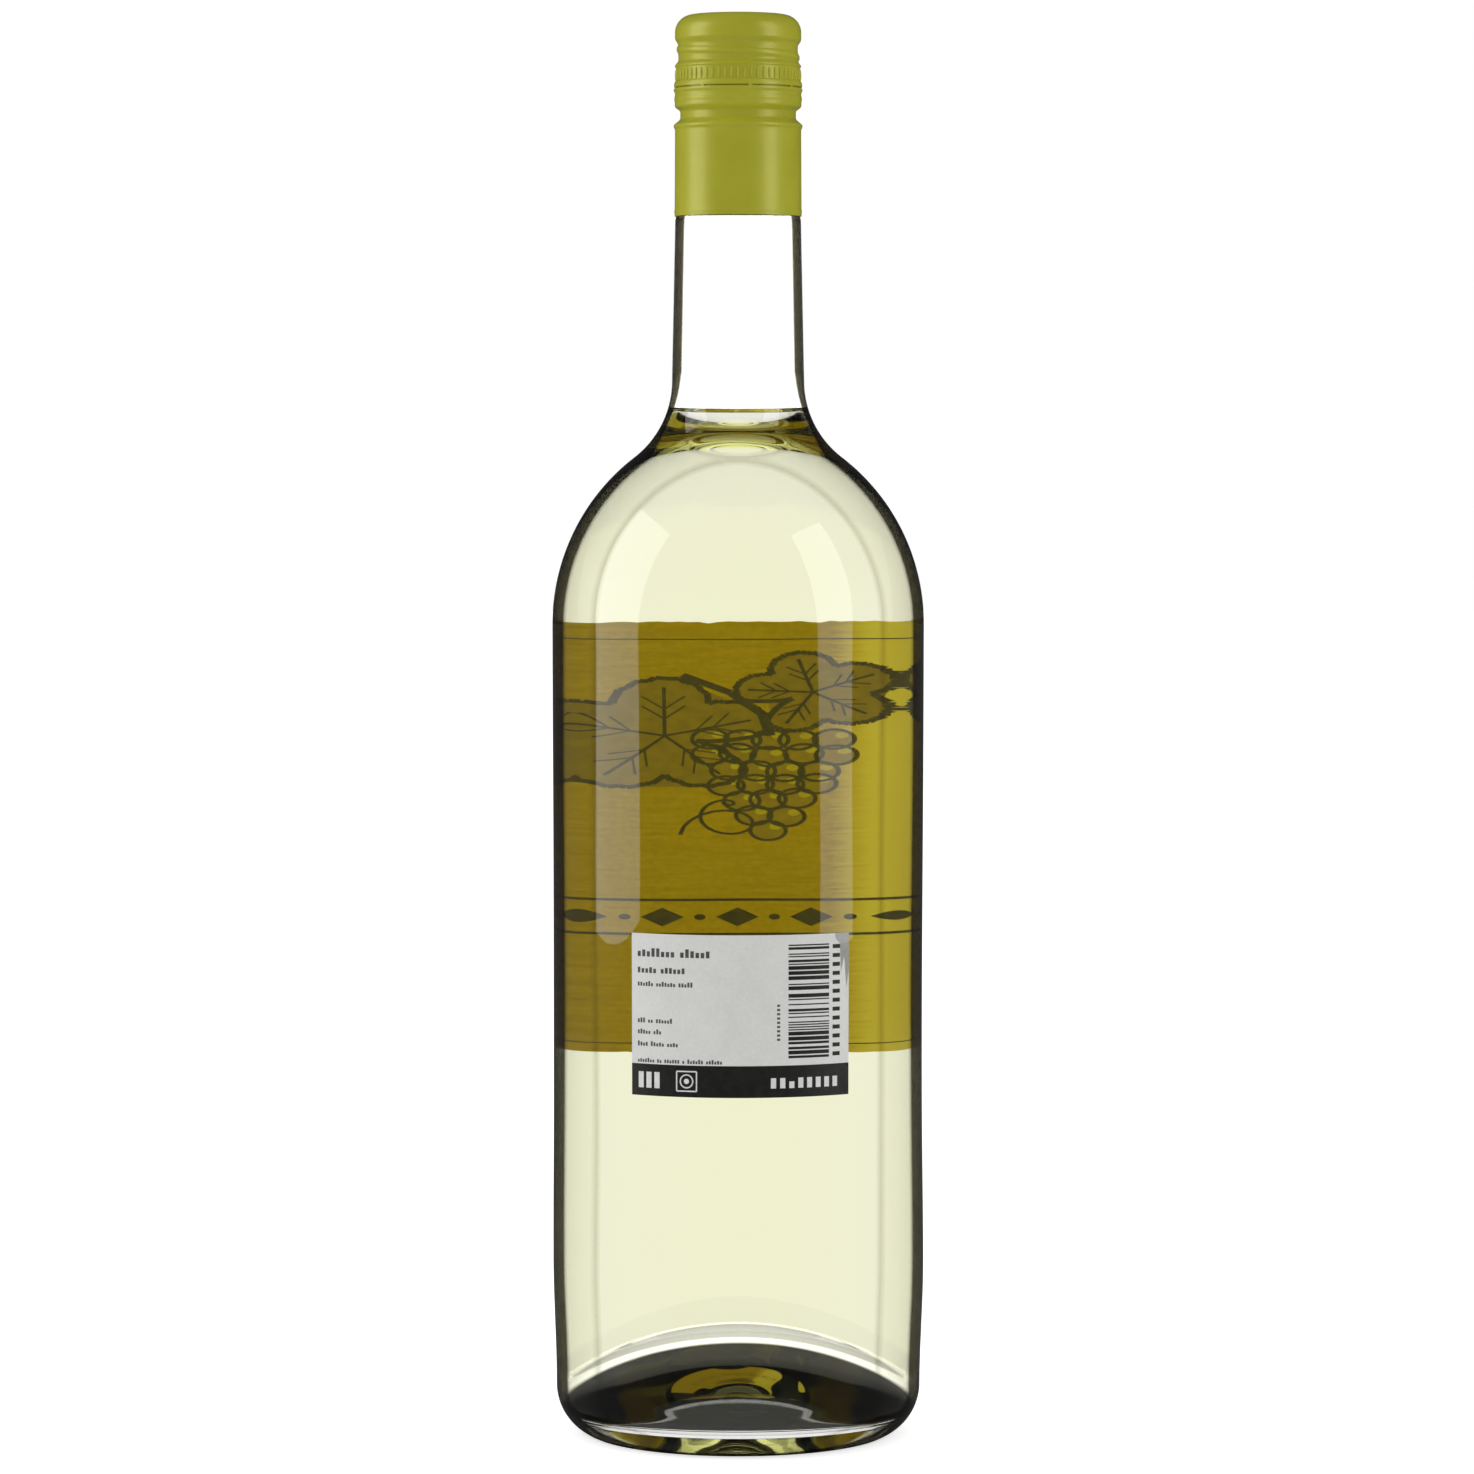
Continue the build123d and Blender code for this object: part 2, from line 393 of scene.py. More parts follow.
def closureMaterial():
    mat, nodes, links, shader, out = material("closureLacquer")
    place = node(nodes, links, "ShaderNodeTexCoord").outputs["Object"]
    fine = node(nodes, links, "ShaderNodeTexNoise", {"Vector": place, "Scale": 2600.0, "Detail": 3.0})
    broad = node(nodes, links, "ShaderNodeTexNoise", {"Vector": place, "Scale": 90.0, "Detail": 2.0})
    colour = ramp(nodes, links, broad.outputs[0], [(0.3, srgb(170, 169, 34)), (0.7, srgb(178, 177, 42))])
    links.new(colour, shader.inputs["Base Color"])
    shader.inputs["Metallic"].default_value = 0.12
    rough = mapRange(nodes, links, fine.outputs[0], (0, 1), (0.3, 0.42))
    links.new(rough.outputs[0], shader.inputs["Roughness"])
    shader.inputs["Coat Weight"].default_value = 0.25
    shader.inputs["Coat Roughness"].default_value = 0.22
    bump = node(nodes, links, "ShaderNodeBump",
                {"Strength": 0.06, "Distance": 0.0001, "Height": fine.outputs[0]})
    links.new(bump.outputs[0], shader.inputs["Normal"])
    return mat


def bell(x, width):
    return 1 / (1 + (x / width) ** 4)


def closureRadius(a, down):
    c = closureSizes
    r = c["radius"]
    run = (down - c["threadTop"]) / (c["threadBottom"] - c["threadTop"])
    if 0 < run < 1:
        fade = min(1, run / 0.28, (1 - run) / 0.22)
        phase = (down / c["threadPitch"] - a / (2 * pi)) % 1 - 0.5
        r += -c["threadDepth"] * (3 * fade ** 2 - 2 * fade ** 3) + c["threadRise"] * bell(phase, 0.17) * fade
    elif run >= 1 and down < c["knurlTop"] + c["knurlLength"] + 0.1:
        r -= c["knurlInset"]
    r += sum(rise * bell(down - middle, width) for rise, middle, width in c["beads"])
    start, end = c["groove"]
    cut = min(max(0, (down - start) / c["grooveSlope"][0]), max(0, (end - down) / c["grooveSlope"][1]), 1)
    r -= c["grooveDepth"] * (3 * cut ** 2 - 2 * cut ** 3)
    r += c["flare"] * max(0, down - c["flareFrom"])
    if abs(down - c["slit"]) < c["slitHeight"] / 2:
        turn = (degrees(a) - c["bridgeTurn"]) % (360 / c["bridges"])
        if min(turn, 360 / c["bridges"] - turn) > c["bridgeWidth"] / 2:
            r -= c["slitDepth"]
    return r


def makeClosure():
    c = closureSizes
    top, low = closureHigh[2] / mm, closureLow[2] / mm
    length = top - low
    crown = c["radius"] - c["corner"]
    profile = [(0, top), (4, top), (8, top)]
    profile += arc((crown, top - c["corner"]), (crown, top), (c["radius"], top - c["corner"]), 14)
    step = 0.19                          # fine rows down to the skirt, then few
    downs = [c["corner"] + step * (i + 1) for i in range(int((27 - c["corner"]) / step))]
    for edge in (c["slit"] - c["slitHeight"] / 2, c["slit"] + c["slitHeight"] / 2):
        downs += [edge - 0.02, edge + 0.02]
    downs = sorted(downs) + [30, 34, 38, 42, 43.6, 44.1, 44.4, 44.7, 45.0, 45.3, length]
    side = [(c["radius"], top - d) for d in downs]
    inner = [(c["radius"] - c["sheet"], low), (c["radius"] - c["sheet"], top - 26.5),
             (c["radius"] - 1.5, top - 24), (c["radius"] - 1.5, top - c["corner"]),
             (crown, top - c["sheet"]), (0, top - c["sheet"])]
    outer = set(round(top - d, 6) for d in downs)

    def shape(a, r, z):
        if abs(r - c["radius"]) < 1e-9 and round(z, 6) in outer:
            return closureRadius(a, top - z) - c["radius"]
        return 0

    piece = spin("closureShell", profile + side + inner, c["segments"], closureMaterial(), shape)
    piece.data.set_sharp_from_angle(angle=radians(50))
    return piece


def ribTree(matRib):
    tree = bpy.data.node_groups.new("knurlRibs", "GeometryNodeTree")
    tree.interface.new_socket("Geometry", in_out="OUTPUT", socket_type="NodeSocketGeometry")
    names = {}
    for label, kind, value in (("Count", "NodeSocketInt", closureSizes["knurls"]),
                               ("Ring Radius", "NodeSocketFloat", 0.014),
                               ("Height", "NodeSocketFloat", 0.3),
                               ("Rib Radius", "NodeSocketFloat", 0.0003),
                               ("Rib Length", "NodeSocketFloat", 0.0027)):
        socket = tree.interface.new_socket(label, in_out="INPUT", socket_type=kind)
        socket.default_value = value
        names[label] = socket.identifier
    made, links = tree.nodes, tree.links
    given = made.new("NodeGroupInput")
    out = made.new("NodeGroupOutput")
    circle = made.new("GeometryNodeMeshCircle")
    links.new(given.outputs["Count"], circle.inputs["Vertices"])
    links.new(given.outputs["Ring Radius"], circle.inputs["Radius"])
    lift = made.new("ShaderNodeCombineXYZ")
    links.new(given.outputs["Height"], lift.inputs["Z"])
    raised = made.new("GeometryNodeTransform")
    links.new(circle.outputs[0], raised.inputs["Geometry"])
    links.new(lift.outputs[0], raised.inputs["Translation"])
    rib = made.new("GeometryNodeMeshUVSphere")
    rib.inputs["Segments"].default_value = 10
    rib.inputs["Rings"].default_value = 8
    stretch = made.new("GeometryNodeTransform")
    links.new(rib.outputs[0], stretch.inputs["Geometry"])
    scale = made.new("ShaderNodeCombineXYZ")
    links.new(given.outputs["Rib Radius"], scale.inputs["X"])
    links.new(given.outputs["Rib Radius"], scale.inputs["Y"])
    half = made.new("ShaderNodeMath")
    half.operation = "MULTIPLY"
    half.inputs[1].default_value = 0.56
    links.new(given.outputs["Rib Length"], half.inputs[0])
    links.new(half.outputs[0], scale.inputs["Z"])
    links.new(scale.outputs[0], stretch.inputs["Scale"])
    spread = made.new("GeometryNodeInstanceOnPoints")
    links.new(raised.outputs[0], spread.inputs["Points"])
    links.new(stretch.outputs[0], spread.inputs["Instance"])
    real = made.new("GeometryNodeRealizeInstances")
    links.new(spread.outputs[0], real.inputs[0])
    shade = made.new("GeometryNodeSetShadeSmooth")
    links.new(real.outputs[0], shade.inputs[0])
    paint = made.new("GeometryNodeSetMaterial")
    paint.inputs["Material"].default_value = matRib
    links.new(shade.outputs[0], paint.inputs[0])
    links.new(paint.outputs[0], out.inputs[0])
    return tree, names


def bake(piece):
    graph = bpy.context.evaluated_depsgraph_get()
    mesh = bpy.data.meshes.new_from_object(piece.evaluated_get(graph))
    piece.modifiers.clear()
    piece.data = mesh
    return piece


def makeRibs(shell):
    c = closureSizes
    tree, names = ribTree(shell.data.materials[0])
    piece = newMesh("closureKnurls", [(0, 0, 0)], [], None)
    modifier = piece.modifiers.new("knurlRibs", "NODES")
    modifier.node_group = tree
    modifier[names["Count"]] = c["knurls"]
    modifier[names["Ring Radius"]] = (c["radius"] - c["knurlInset"] - 0.06) * mm
    modifier[names["Height"]] = closureHigh[2] - (c["knurlTop"] + c["knurlLength"] / 2) * mm
    modifier[names["Rib Radius"]] = c["knurlWidth"] / 2 * mm
    modifier[names["Rib Length"]] = c["knurlLength"] * mm
    return bake(piece)


closure = makeClosure()
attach(closure, "root")
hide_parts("closure")
knurls = makeRibs(closure)
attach(knurls, "root")
print("closure made")


labelSizes = {
    "paper": 0.13,
    "sink": 0.04,                        # inner face just inside the glass
    "step": 1.2,                         # along the curve
    "ink": 0.012,
    "deckle": 0.16,                      # raggedness of the front label's edges
    "cutEdge": 0.015,                    # and of the back label's
    "frontHalf": 77.0,                   # degrees either side of its middle
    "backHalf": 34.8,
    "backTurn": 0.8,
}
arcRadius = glassSizes["side"] - glassSizes["panelInset"] / 2


def panelRadius(z):
    s = glassSizes
    t = min(1, max(0, (z - s["panelBottom"]) / (s["shoulder"] - s["panelBottom"])))
    return s["side"] - s["panelInset"] + s["panelInset"] * (3 * t * t - 2 * t ** 3)


def onPanel(across, z, lift, facing):    # across is a length along the curve
    radius = panelRadius(z) + lift
    a = facing + across / arcRadius
    return (radius * cos(a) * mm, radius * sin(a) * mm, z * mm)


def paperSheet(name, low, high, half, facing, outerMat, innerMat, deckle):
    rng = random.Random(len(name))
    waves = [(rng.uniform(0.4, 3.2), rng.uniform(0, 6.3), rng.uniform(0.3, 1)) for _ in range(9)]

    def ragged(u, turn):
        return deckle * sum(w * sin(f * u * 2.1 + p + turn) for f, p, w in waves) / 4

    width = radians(half) * arcRadius
    cols = int(2 * width / labelSizes["step"])
    rows = 30
    verts, faces = [], []
    for lift in (labelSizes["paper"], -labelSizes["sink"]):
        for j in range(rows + 1):
            for i in range(cols + 1):
                u = -width + 2 * width * i / cols
                t = j / rows
                z = low + (high - low) * t
                z += ragged(u, 0) * (1 - t) ** 8 - ragged(u, 2.5) * t ** 8
                verts.append(onPanel(u, z, lift, facing))
    layer = (rows + 1) * (cols + 1)
    mats = []

    def at(k, j, i):
        return k * layer + j * (cols + 1) + i

    for j in range(rows):
        for i in range(cols):
            faces.append((at(0, j, i), at(0, j, i + 1), at(0, j + 1, i + 1), at(0, j + 1, i)))
            mats.append(0)
            faces.append((at(1, j, i), at(1, j + 1, i), at(1, j + 1, i + 1), at(1, j, i + 1)))
            mats.append(1)
    for j in range(rows):
        for i in (0, cols):
            faces.append((at(0, j, i), at(0, j + 1, i), at(1, j + 1, i), at(1, j, i)))
            mats.append(0)
    for i in range(cols):
        for j in (0, rows):
            faces.append((at(0, j, i), at(0, j, i + 1), at(1, j, i + 1), at(1, j, i)))
            mats.append(0)
    piece = newMesh(name, verts, faces, outerMat)
    piece.data.materials.append(innerMat)
    for poly, index in zip(piece.data.polygons, mats):
        poly.material_index = index
    piece.data.set_sharp_from_angle(angle=radians(40))
    return piece


def printed(name, shapes, lift, facing, mat):
    bm = bmesh.new()
    for shape in shapes:
        corners = [bm.verts.new((u, 0, z)) for u, z in shape]
        try:
            bm.faces.new(corners)
        except ValueError:
            continue
    bmesh.ops.triangulate(bm, faces=bm.faces[:])
    low = min(v.co.x for v in bm.verts)
    high = max(v.co.x for v in bm.verts)
    cut = low + labelSizes["step"]
    while cut < high:
        geometry = bm.verts[:] + bm.edges[:] + bm.faces[:]
        bmesh.ops.bisect_plane(bm, geom=geometry, plane_co=(cut, 0, 0), plane_no=(1, 0, 0))
        cut += labelSizes["step"]
    for v in bm.verts:
        v.co = onPanel(v.co.x, v.co.z, lift, facing)
    mesh = bpy.data.meshes.new(name)
    bm.to_mesh(mesh)
    bm.free()
    outward = 1 if lift > 0 else -1
    for face in mesh.polygons:
        face.use_smooth = True
        if (face.normal[0] * face.center[0] + face.normal[1] * face.center[1]) * outward < 0:
            face.flip()
    piece = bpy.data.objects.new(name, mesh)
    bpy.context.scene.collection.objects.link(piece)
    mesh.materials.append(mat)
    return piece


def bar(u0, z0, u1, z1):
    return [(u0, z0), (u1, z0), (u1, z1), (u0, z1)]


def disc(u, z, r, n=28, squash=1.0):
    return [(u + r * cos(2 * pi * k / n), z + r * squash * sin(2 * pi * k / n)) for k in range(n)]


def stroke(points, width):
    shapes = []
    for (u0, z0), (u1, z1) in zip(points, points[1:]):
        d = hypot(u1 - u0, z1 - z0)
        if d < 1e-6:
            continue
        nu, nz = -(z1 - z0) / d * width / 2, (u1 - u0) / d * width / 2
        shapes.append([(u0 + nu, z0 + nz), (u0 - nu, z0 - nz), (u1 - nu, z1 - nz), (u1 + nu, z1 + nz)])
    return shapes


# lit stands in for the light that comes through the paper
def paperMaterial(name, low, high, streak, bumpy, glow=None, lit=0.0):
    mat, nodes, links, shader, out = material(name)
    place = node(nodes, links, "ShaderNodeTexCoord").outputs["Object"]
    stretch = node(nodes, links, "ShaderNodeMapping", {"Vector": place, "Scale": (1, 1, streak)})
    laid = node(nodes, links, "ShaderNodeTexNoise",
                {"Vector": stretch.outputs[0], "Scale": 150.0, "Detail": 5.0, "Roughness": 0.6})
    fibre = node(nodes, links, "ShaderNodeTexNoise", {"Vector": place, "Scale": 1500.0, "Detail": 3.0})
    mixed = maths(nodes, links, "ADD", laid.outputs[0], fibre.outputs[0])
    half = maths(nodes, links, "MULTIPLY", mixed.outputs[0], 0.5)
    colour = ramp(nodes, links, half.outputs[0], [(0.36, low), (0.62, high)])
    if glow:                             # painted backlight, brighter towards +X: from and to, in metres along X, and the colour there
        parts = node(nodes, links, "ShaderNodeSeparateXYZ", {0: place})
        wobble = maths(nodes, links, "MULTIPLY_ADD", laid.outputs[0], 0.004, -0.002)
        across = maths(nodes, links, "ADD", parts.outputs[0], wobble.outputs[0])
        reach = mapRange(nodes, links, across.outputs[0], (glow[0], glow[1]))
        paintedBacklightMix = node(nodes, links, "ShaderNodeMix", {0: reach.outputs[0]}, data_type="RGBA")
        links.new(colour, paintedBacklightMix.inputs[6])
        paintedBacklightMix.inputs[7].default_value = (*glow[2], 1)
        colour = paintedBacklightMix.outputs[2]
    links.new(colour, shader.inputs["Base Color"])
    links.new(colour, shader.inputs["Emission Color"])
    shader.inputs["Emission Strength"].default_value = lit
    shader.inputs["Roughness"].default_value = 0.75
    shader.inputs["Specular IOR Level"].default_value = 0.1
    bump = node(nodes, links, "ShaderNodeBump",
                {"Strength": bumpy, "Distance": 0.0002, "Height": half.outputs[0]})
    links.new(bump.outputs[0], shader.inputs["Normal"])
    return mat


def inkMaterial(name, low, high, rough=0.5, lit=0.0):
    mat, nodes, links, shader, out = material(name)
    place = node(nodes, links, "ShaderNodeTexCoord").outputs["Object"]
    grain = node(nodes, links, "ShaderNodeTexNoise", {"Vector": place, "Scale": 700.0, "Detail": 4.0})
    colour = ramp(nodes, links, grain.outputs[0], [(0.35, low), (0.65, high)])
    links.new(colour, shader.inputs["Base Color"])
    links.new(colour, shader.inputs["Emission Color"])
    shader.inputs["Emission Strength"].default_value = lit
    shader.inputs["Roughness"].default_value = rough
    return mat


frontFacing, backFacing = pi / 2, -pi / 2 + radians(labelSizes["backTurn"])
frontZ = (frontLow[2] / mm, frontHigh[2] / mm)
backZ = (backLow[2] / mm, backHigh[2] / mm)

frontOuter = paperMaterial("frontPaperFace", srgb(206, 198, 150), srgb(222, 214, 170), 7.0, 0.25)
# painted light: the inner face turns brighter towards its +X edge and glows slightly, standing in for light
# coming through the paper
frontInner = paperMaterial("frontPaperBack", srgb(184, 152, 0), srgb(204, 172, 10), 9.0, 0.5,
                           glow=(0.0110, 0.0150, srgb(255, 232, 70)), lit=0.3)
frontPaper = paperSheet("frontPaper", *frontZ, labelSizes["frontHalf"], frontFacing, frontOuter, frontInner,
                        labelSizes["deckle"])
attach(frontPaper, "root")
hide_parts("front_label")

backOuter = paperMaterial("backPaperFace", srgb(212, 212, 209), srgb(220, 220, 217), 1.0, 0.06)
backInner = paperMaterial("backPaperBack", srgb(205, 205, 196), srgb(216, 216, 208), 1.0, 0.1)
backPaper = paperSheet("backPaper", *backZ, labelSizes["backHalf"], backFacing, backOuter, backInner,
                       labelSizes["cutEdge"])
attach(backPaper, "root")
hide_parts("back_label")
print("papers made")


def leafOutline(u, z, size, turn, lobes=5):
    points = []
    n = 90
    for k in range(n):
        a = 2 * pi * k / n
        r = size * (0.62 + 0.3 * abs(cos(lobes * a / 2)) ** 0.8 + 0.05 * abs(sin(17 * a)))
        if abs(a - pi) < 0.35:
            r *= 0.45 + 0.55 * abs(a - pi) / 0.35
        points.append((u + r * cos(a + turn), z + r * sin(a + turn)))
    return points


def leafVeins(u, z, size, turn, lobes=5):
    shapes = []
    for k in range(lobes):
        a = 2 * pi * k / lobes + turn
        if abs((2 * pi * k / lobes) - pi) < 0.3:
            continue
        tip = (u + 0.8 * size * cos(a), z + 0.8 * size * sin(a))
        shapes += stroke([(u, z), tip], 0.45)
        for t in (0.35, 0.55):
            for side in (-0.7, 0.7):
                root = (u + t * 0.8 * size * cos(a), z + t * 0.8 * size * sin(a))
                end = (root[0] + 0.28 * size * cos(a + side), root[1] + 0.28 * size * sin(a + side))
                shapes += stroke([root, end], 0.28)
    return shapes


artSizes = {
    "centre": (0.0, frontZ[0] + 63.0),
    "leaf": 14.0,
    "grape": 2.25,
    "spacing": (3.7, 3.5),
    "rows": (5, 5, 4, 4, 3, 2, 1),
    "outline": 0.9,
    "half": 52.0,
    "title": 31.8,                       # up from the label's lower edge
    "titleHalf": 40.0,
    "titleRules": (27.5, 35.5),
    "titleStep": 9.0,
    "diamond": (2.6, 2.2),
    "dot": 0.7,
}


def grapeCentres():
    a = artSizes
    rng = random.Random(11)
    across, down = a["spacing"]
    middle, top = a["centre"][0] - 4, a["centre"][1] + 10
    spots = []
    for j, count in enumerate(a["rows"]):
        for i in range(count):
            spots.append((middle + (i - (count - 1) / 2) * across + rng.uniform(-0.4, 0.4),
                          top - j * down + rng.uniform(-0.4, 0.4)))
    return spots


def outlineStroke(outline, width):
    return stroke(outline + outline[:1], width)


def artwork(tag, lift, facing, mats):
    a = artSizes
    cu, cz = a["centre"]
    dark, leafGreen, grapeGreen, shine = mats
    step = labelSizes["ink"] * (1 if lift > 0 else -1)
    leaves = [(cu + 9, cz + 11, a["leaf"], 0.3), (cu - 9, cz + 21, a["leaf"] * 0.7, 2.6)]
    low, high, half = *frontZ, a["half"]
    frameLines = [bar(-half, high - 3.4, half, high - 3.15), bar(-half, low + 2.0, half, low + 2.25)]
    title = [bar(-a["titleHalf"], low + up, a["titleHalf"], low + up + 0.6) for up in a["titleRules"]]
    spacing, middle = a["titleStep"], low + a["title"]
    wide, tall = a["diamond"]
    for k in range(-4, 5):
        u = k * spacing
        title.append([(u - wide, middle), (u, middle - tall), (u + wide, middle), (u, middle + tall)])
    for k in range(-4, 4):
        title.append(disc((k + 0.5) * spacing, middle, a["dot"], 12))
    fills = [leafOutline(*q) for q in leaves]
    veins = []
    for q in leaves:
        veins += leafVeins(*q) + outlineStroke(leafOutline(*q), a["outline"])
    grapes = grapeCentres()
    rims = []
    for u, z in grapes:
        rims += outlineStroke(disc(u, z, a["grape"], 24), 0.55)
    stalk = [(cu - 4, cz + 11), (cu - 3, cz + 16), (cu + 1, cz + 21), (cu + 7, cz + 25)]
    curl = [(cu + 2 + 5 * cos(t / 3) * (1 - t / 40), cz - 12 + t * 0.25 + 5 * sin(t / 3) * (1 - t / 40))
            for t in range(34)]
    fruit = [disc(u, z, a["grape"], 24) for u, z in grapes]
    shines = [disc(u - 0.9, z + 0.9, 0.75, 12) for u, z in grapes]
    made = [
        printed(tag + "Leaves", fills, lift + step, facing, leafGreen),
        printed(tag + "Grapes", fruit, lift + 2 * step, facing, grapeGreen),
        printed(tag + "Shine", shines, lift + 3 * step, facing, shine),
        printed(tag + "Lines", frameLines + title + veins + rims + stroke(stalk, 1.3) + stroke(curl, 0.5),
                lift + 4 * step, facing, dark),
    ]
    for piece in made:
        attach(piece, "root")


outerInks = (inkMaterial("frontInkDark", srgb(52, 50, 24), srgb(66, 62, 32)),
             inkMaterial("frontInkLeaf", srgb(146, 160, 40), srgb(168, 172, 58)),
             inkMaterial("frontInkGrape", srgb(186, 182, 62), srgb(200, 194, 84)),
             inkMaterial("frontInkShine", srgb(226, 222, 150), srgb(232, 228, 160)))
# painted light: these inks glow, standing in for light coming through the paper behind the print
paintedShowThroughInks = (inkMaterial("throughInkDark", srgb(84, 76, 0), srgb(98, 88, 6), lit=0.2),
             inkMaterial("throughInkLeaf", srgb(150, 126, 0), srgb(164, 138, 0), lit=0.3),
             inkMaterial("throughInkGrape", srgb(160, 134, 0), srgb(174, 146, 0), lit=0.3),
             inkMaterial("throughInkShine", srgb(200, 180, 10), srgb(210, 190, 20), lit=0.3))
artwork("front", labelSizes["paper"], frontFacing, outerInks)
artwork("through", -labelSizes["sink"], frontFacing, paintedShowThroughInks)      # the print's shapes on the inner face, coloured and glowing as painted light coming through the paper
print("front print made")

backPrintSizes = {
    "band": 7.1,
    "letter": (0.62, 0.42),              # pitch and width, as shares of the height
    "words": ((2.6, 4.2, 1.9, (8, 6)), (2.6, 8.0, 1.6, (5, 6)), (2.6, 11.2, 1.1, (6, 7, 5)),
              (2.6, 19.4, 1.1, (3, 2, 6)), (2.6, 21.9, 1.1, (5, 3)), (2.6, 24.6, 1.1, (4, 5, 4)),
              (2.6, 28.3, 1.0, (7, 2, 6, 1, 6, 6))),      # left, down, height and letters a word
    "bars": 34,
    "barEnds": (15.0, 5.2),              # in from the right edge
    "digits": (4.3, 2.4, 0.9, 2.0),      # from, to, height and pitch
    "square": (13.5, 2.3, 2.2),          # middle, half width and half height
}


def makeBackPrint():
    b = backPrintSizes
    rng = random.Random(4)
    lift = labelSizes["paper"]
    half = radians(labelSizes["backHalf"]) * arcRadius
    low, high = backZ
    black = inkMaterial("backInkBlack", srgb(30, 29, 26), srgb(38, 37, 33), 0.4)
    grey = inkMaterial("backInkGrey", srgb(70, 70, 70), srgb(88, 88, 86), 0.5)
    white = inkMaterial("backInkWhite", srgb(214, 214, 212), srgb(224, 224, 222), 0.5)
    ink = labelSizes["ink"]
    band = printed("backBand", [bar(-half, low, half, low + b["band"])], lift + ink, backFacing, black)
    pitch, width = b["letter"]
    words = []
    for left, down, tall, lengths in b["words"]:
        u = -half + left - 1.0
        z = high - down
        for count in lengths:
            for k in range(count):
                letter = tall * rng.choice((0.62, 0.62, 0.8, 1.0))
                start = u + k * tall * pitch
                words.append(bar(start, z - tall / 2, start + tall * width, z - tall / 2 + letter))
            u += count * tall * pitch + tall * 0.55
    bars = []
    z = low + b["band"] + 1.6
    top = high - 2.2
    unit = (top - z) / (b["bars"] * 2.65)
    while z < top - unit:
        tall = unit * rng.choice((1, 1, 2, 3))
        bars.append(bar(half - b["barEnds"][0], z, half - b["barEnds"][1], min(top, z + tall)))
        z += tall + unit * rng.choice((1, 1, 2, 3))
    digits = []
    z = low + b["band"] + 1.8
    near, far, thick, pace = b["digits"]
    while z < top:
        digits.append(bar(half - near, z, half - far, z + thick))
        z += pace
    small = [bar(half - 17.6, high - 16 - k * 0.95, half - 16.9, high - 15.5 - k * 0.95) for k in range(9)]
    marks = []
    mid = low + b["band"] / 2
    for k in range(3):
        marks.append(bar(-half + 1.8 + k * 2.0, mid - 1.8, -half + 3.1 + k * 2.0, mid + 1.8))
    inset, wide, tall = b["square"]
    centre = -half + inset
    marks += outlineStroke(bar(centre - wide, mid - tall, centre + wide, mid + tall), 0.3)
    marks += outlineStroke(disc(centre, mid, 1.45, 24), 0.3) + [disc(centre, mid, 0.6, 14)]
    for k in range(8):
        tall = rng.choice((1.5, 2.3, 2.3))
        marks.append(bar(half - 19.0 + k * 2.1, mid - 1.5, half - 17.8 + k * 2.1, mid - 1.5 + tall))
    made = [band, printed("backWords", words + small, lift + ink, backFacing, grey),
            printed("backBars", bars + digits, lift + ink, backFacing, black),
            printed("backMarks", marks, lift + 2 * ink, backFacing, white)]
    for piece in made:
        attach(piece, "root")


makeBackPrint()
print("back print made")


stageSizes = {                           # metres
    "distance": 1.31,
    "cameraHeight": 0.2298,
    "aim": 0.1597,
    "sideStep": -0.00025,
    "lens": 140.07,
    "floor": 6.0,
}


def makeFloor():
    size = stageSizes["floor"]
    mat, nodes, links, shader, out = material("paleFloor")
    shader.inputs["Roughness"].default_value = 0.9
    shader.inputs["Specular IOR Level"].default_value = 0.0
    path = node(nodes, links, "ShaderNodeLightPath")
    seenThrough = maths(nodes, links, "MULTIPLY_ADD", path.outputs["Is Transmission Ray"], -0.6, 0.85)
    pale = maths(nodes, links, "MULTIPLY_ADD", path.outputs["Is Glossy Ray"], -0.78, seenThrough.outputs[0])
    links.new(pale.outputs[0], shader.inputs["Base Color"])
    direct = maths(nodes, links, "MULTIPLY", path.outputs["Is Camera Ray"], 0.62)
    through = maths(nodes, links, "MULTIPLY", path.outputs["Is Transmission Ray"], 0.92)
    glow = maths(nodes, links, "ADD", direct.outputs[0], through.outputs[0])
    shader.inputs["Emission Color"].default_value = (1, 1, 1, 1)
    links.new(glow.outputs[0], shader.inputs["Emission Strength"])
    floor = newMesh("floorPlane", [(-size, -size, 0), (size, -size, 0), (size, size, 0), (-size, size, 0)],
                    [(0, 1, 2, 3)], mat, smooth=False, recalc=False)


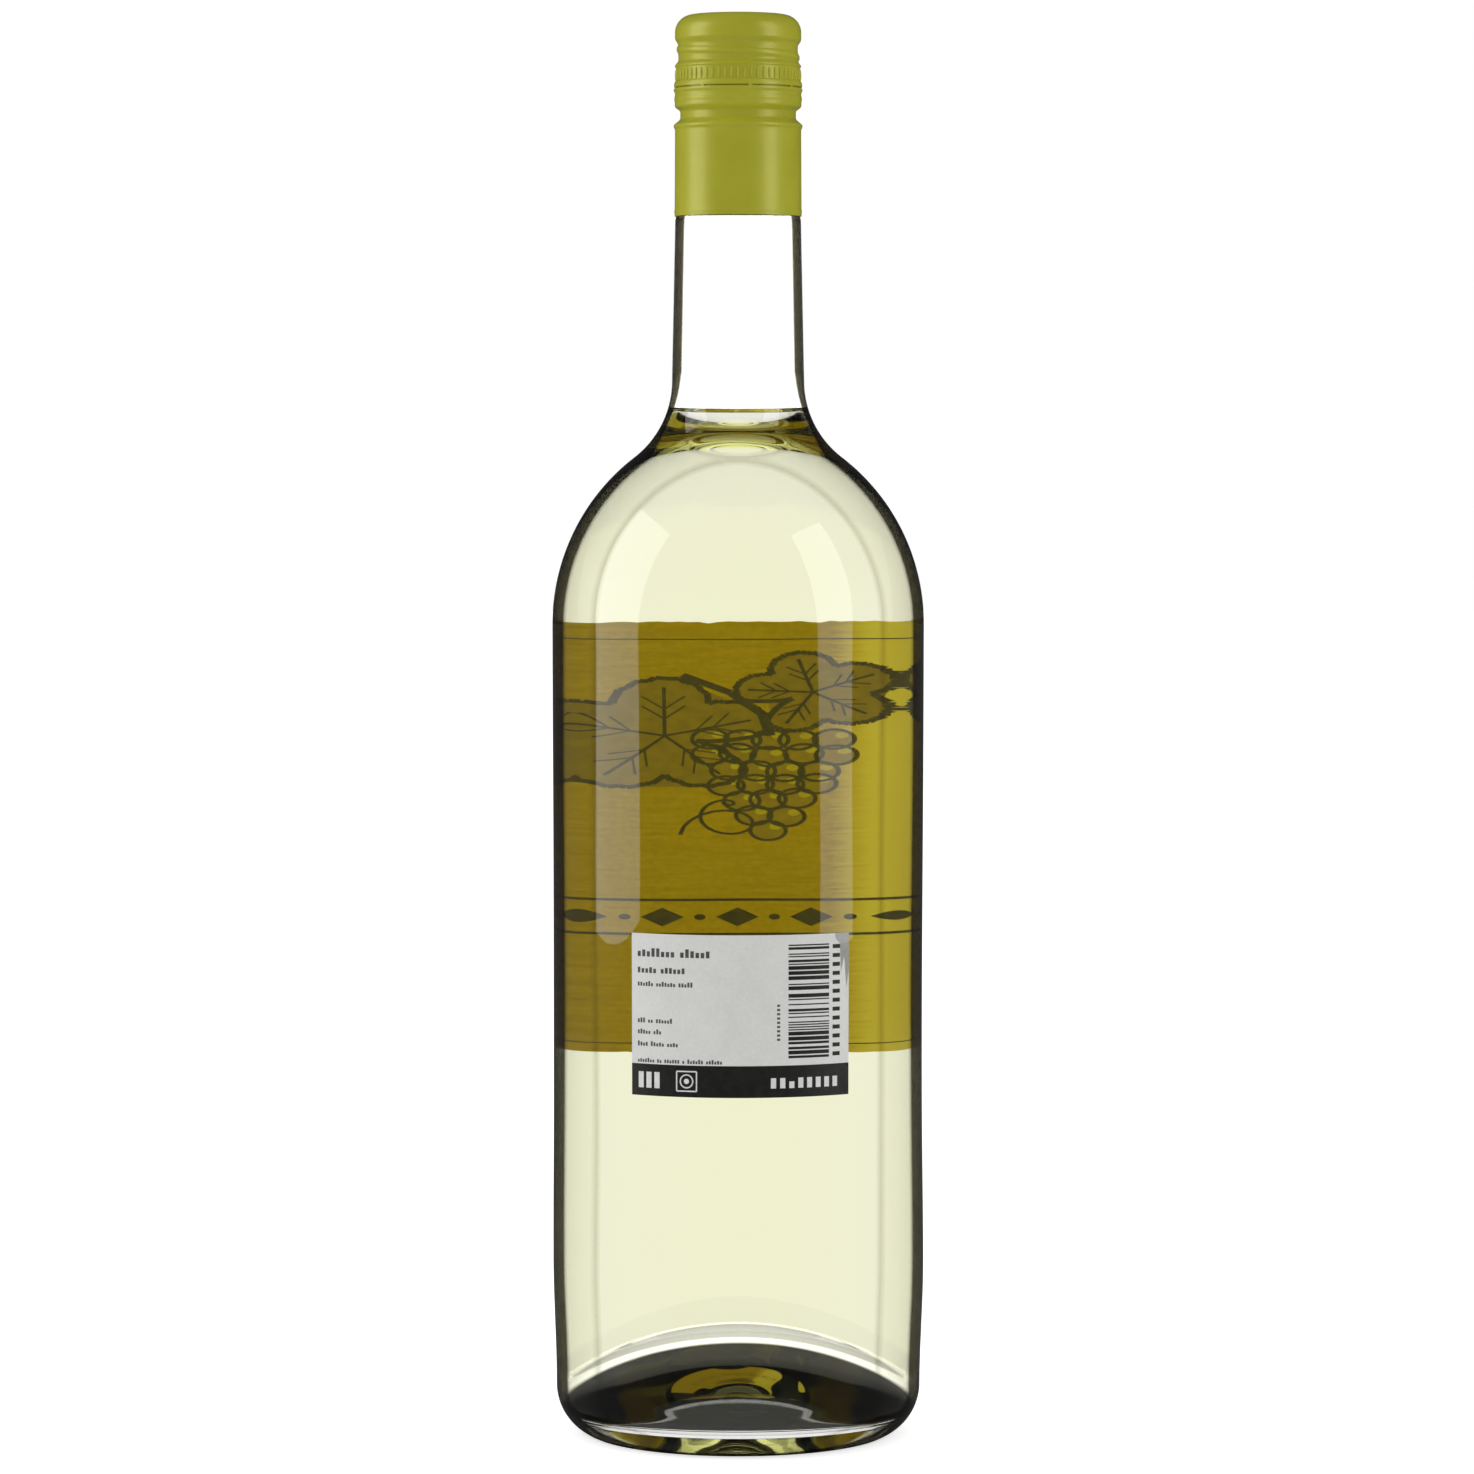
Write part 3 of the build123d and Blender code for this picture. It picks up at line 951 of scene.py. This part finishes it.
def makeWorld():
    world = bpy.data.worlds.new("paleRoom")
    bpy.context.scene.world = world
    world.use_nodes = True
    nodes, links = world.node_tree.nodes, world.node_tree.links
    nodes.clear()
    out = nodes.new("ShaderNodeOutputWorld")
    ground = nodes.new("ShaderNodeBackground")
    links.new(ground.outputs[0], out.inputs[0])
    path = node(nodes, links, "ShaderNodeLightPath")
    place = node(nodes, links, "ShaderNodeTexCoord")
    parts = node(nodes, links, "ShaderNodeSeparateXYZ", {0: place.outputs["Generated"]})
    high = mapRange(nodes, links, parts.outputs["Z"], (0.24, 0.34), (1.65, 0.05))
    through = maths(nodes, links, "MULTIPLY", path.outputs["Is Transmission Ray"], high.outputs[0])
    glossy = maths(nodes, links, "MULTIPLY", path.outputs["Is Glossy Ray"], 0.03)
    behind = mapRange(nodes, links, parts.outputs["Y"], (-1.0, 1.0), (0.42, 1.1))
    diffuse = maths(nodes, links, "MULTIPLY", path.outputs["Is Diffuse Ray"], behind.outputs[0])
    strength = path.outputs["Is Camera Ray"]
    for part in (diffuse, glossy, through):
        strength = maths(nodes, links, "MAXIMUM", strength, part.outputs[0]).outputs[0]
    links.new(strength, ground.inputs["Strength"])
    ground.inputs["Color"].default_value = (1, 1, 1, 1)


def softbox(name, azimuth, distance, height, width, tall, power):
    lamp = bpy.data.lights.new(name, "AREA")
    lamp.shape = "RECTANGLE"
    lamp.size, lamp.size_y = width, tall
    lamp.energy = power
    box = bpy.data.objects.new(name, lamp)
    bpy.context.scene.collection.objects.link(box)
    a = radians(azimuth)
    box.location = (distance * sin(a), -distance * cos(a), height)
    aim = Vector((0, 0, 0.17)) - box.location
    box.rotation_euler = aim.to_track_quat("-Z", "Y").to_euler()
    box.visible_transmission = False
    box.visible_camera = False


def makeCamera():
    s = stageSizes
    data = bpy.data.cameras.new("viewCamera")
    data.lens = s["lens"]
    data.sensor_width = 36
    eye = bpy.data.objects.new("viewCamera", data)
    bpy.context.scene.collection.objects.link(eye)
    eye.location = (s["sideStep"], -s["distance"], s["cameraHeight"])
    aim = Vector((s["sideStep"], 0, s["aim"])) - eye.location
    eye.rotation_euler = aim.to_track_quat("-Z", "Y").to_euler()
    data.clip_end = 50
    bpy.context.scene.camera = eye


makeFloor()
makeWorld()
softbox("leftSoftbox", -80, 1.1, 0.45, 0.75, 1.5, 7.0)
softbox("rightSoftbox", 62, 1.1, 0.45, 0.5, 1.5, 4.5)
makeCamera()
bpy.context.scene.view_settings.view_transform = "Standard"
print("stage made")
